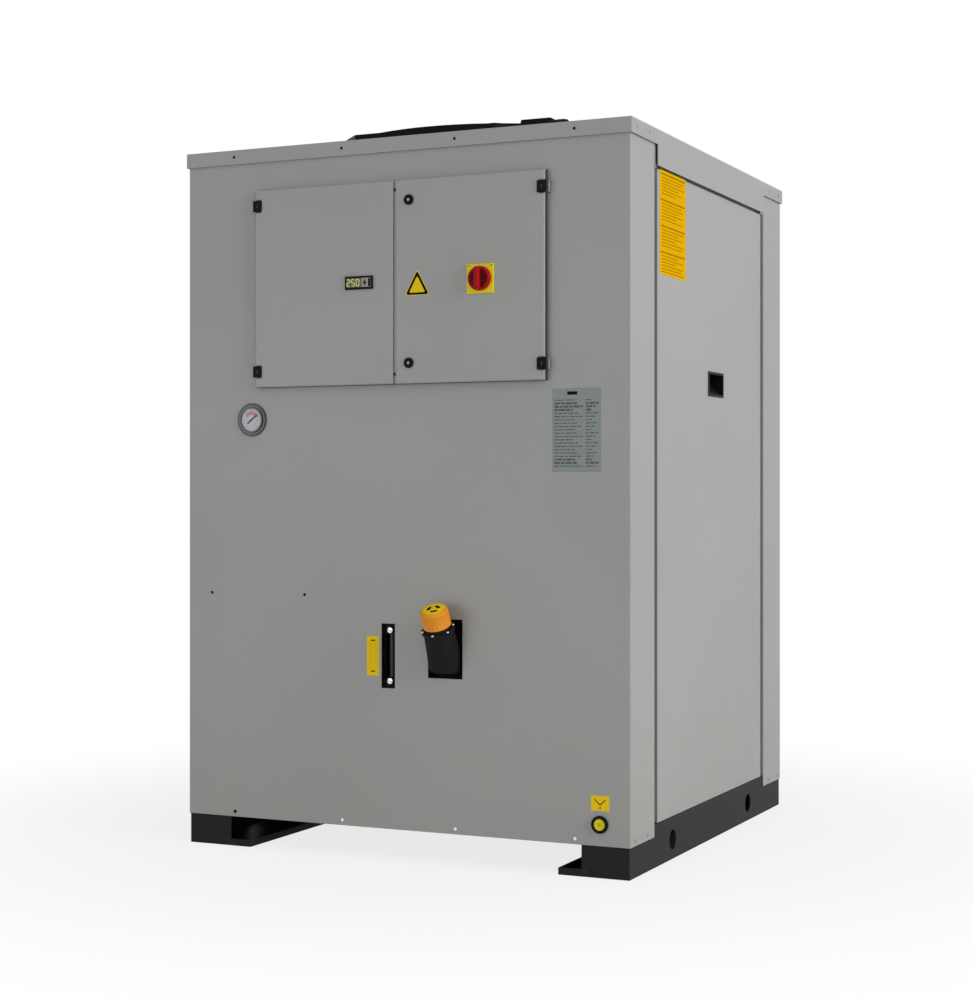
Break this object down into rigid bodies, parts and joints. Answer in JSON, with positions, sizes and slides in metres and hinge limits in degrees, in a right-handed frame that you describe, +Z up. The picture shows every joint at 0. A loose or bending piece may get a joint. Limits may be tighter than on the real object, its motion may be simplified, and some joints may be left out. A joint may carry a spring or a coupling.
{
  "type": "packaged water chiller",
  "caption": "Upright packaged water chiller: sheet metal cabinet on rails, roof fan, electrical doors, filler, level tube and gauge.",
  "frame": {"origin": "on the floor, under the middle of the whole outline", "axes": "+Z up, -Y towards the front with the doors, +X to the right seen from the front"},
  "size_m": [1.24, 1.3898, 1.8544],
  "materials": {
    "cabinet_paint": "satin light grey powder coat",
    "dark_paint": "satin dark grey powder coat",
    "inner_paint": "matt dark paint",
    "black_paint": "satin black paint",
    "black_plastic": "moulded, fine grain",
    "grey_plastic": "moulded",
    "zinc": "zinc-plated sheet",
    "fins": "bare fins",
    "stainless": "stainless sheet",
    "chrome": "polished bezel",
    "brass": "machined",
    "yellow": "moulded yellow",
    "red": "moulded red",
    "orange": "moulded orange",
    "clear_tube": "clear tube"
  },
  "bodies": {
    "cabinet": {"left_base_rail": "dark_paint", "right_base_rail": "dark_paint", "base_pan": "inner_paint", "front_left_upright": "inner_paint", "front_right_upright": "inner_paint", "rear_left_upright": "inner_paint", "rear_right_upright": "inner_paint", "front_panel": "cabinet_paint", "rear_panel": "cabinet_paint", "right_access_panel": "cabinet_paint", "side_grip_cup": "black_plastic", "condenser_coil": "fins", "coil_guard": "cabinet_paint", "roof_lid": "cabinet_paint", "fan_plate": "black_paint", "fan_guard": "black_paint", "fan_motor": "black_paint", "fan_terminal_box": "black_plastic", "electrical_box": "zinc", "breaker_row": "grey_plastic", "contactor_row": "black_plastic", "left_upper_hinge_bracket": "black_plastic", "left_lower_hinge_bracket": "black_plastic", "right_upper_hinge_bracket": "black_plastic", "right_lower_hinge_bracket": "black_plastic", "pressure_gauge": "chrome", "water_tank": "stainless", "level_indicator": "black_plastic", "level_tube": "clear_tube", "filler_neck": "black_plastic", "drain_bushing": "black_plastic", "drain_plug": "yellow", "water_inlet": "brass", "water_outlet": "brass"},
    "left_door_body": {"left_door": "cabinet_paint", "left_upper_hinge_block": "black_plastic", "left_lower_hinge_block": "black_plastic", "controller": "black_plastic"},
    "right_door_body": {"right_door": "cabinet_paint", "right_upper_hinge_block": "black_plastic", "right_lower_hinge_block": "black_plastic", "upper_lock_ring": "black_plastic", "lower_lock_ring": "black_plastic", "switch_plate": "yellow"},
    "main_switch": {"switch_handle": "red"},
    "upper_lock": {"upper_lock_core": "grey_plastic"},
    "lower_lock": {"lower_lock_core": "grey_plastic"},
    "fan": {"fan_impeller": "black_plastic"},
    "filler_cap_body": {"filler_cap": "orange"}
  },
  "joints": [
    {"name": "left_door_swing", "type": "hinge", "parent": "cabinet", "child": "left_door_body", "pos_m": [-0.407, -0.60515, 1.436], "axis": [0, 0, -1], "range_deg": [0, 110]},
    {"name": "right_door_swing", "type": "hinge", "parent": "cabinet", "child": "right_door_body", "pos_m": [0.411, -0.60515, 1.436], "axis": [0, 0, 1], "range_deg": [0, 110]},
    {"name": "main_switch_turn", "type": "hinge", "parent": "right_door_body", "child": "main_switch", "pos_m": [0.235, -0.61365, 1.434], "axis": [0, 1, 0], "range_deg": [0, 90]},
    {"name": "upper_lock_turn", "type": "hinge", "parent": "right_door_body", "child": "upper_lock", "pos_m": [0.039, -0.61365, 1.638], "axis": [0, 1, 0], "range_deg": [0, 90]},
    {"name": "lower_lock_turn", "type": "hinge", "parent": "right_door_body", "child": "lower_lock", "pos_m": [0.039, -0.61365, 1.235], "axis": [0, 1, 0], "range_deg": [0, 90]},
    {"name": "fan_spin", "type": "hinge", "parent": "cabinet", "child": "fan", "pos_m": [0, 0.02685, 1.723], "axis": [0, 0, 1], "continuous": true},
    {"name": "filler_cap_turn", "type": "hinge", "parent": "cabinet", "child": "filler_cap_body", "pos_m": [0.13, -0.64011, 0.59086], "axis": [0, -0.4384, 0.8988], "range_deg": [0, 90]}
  ]
}
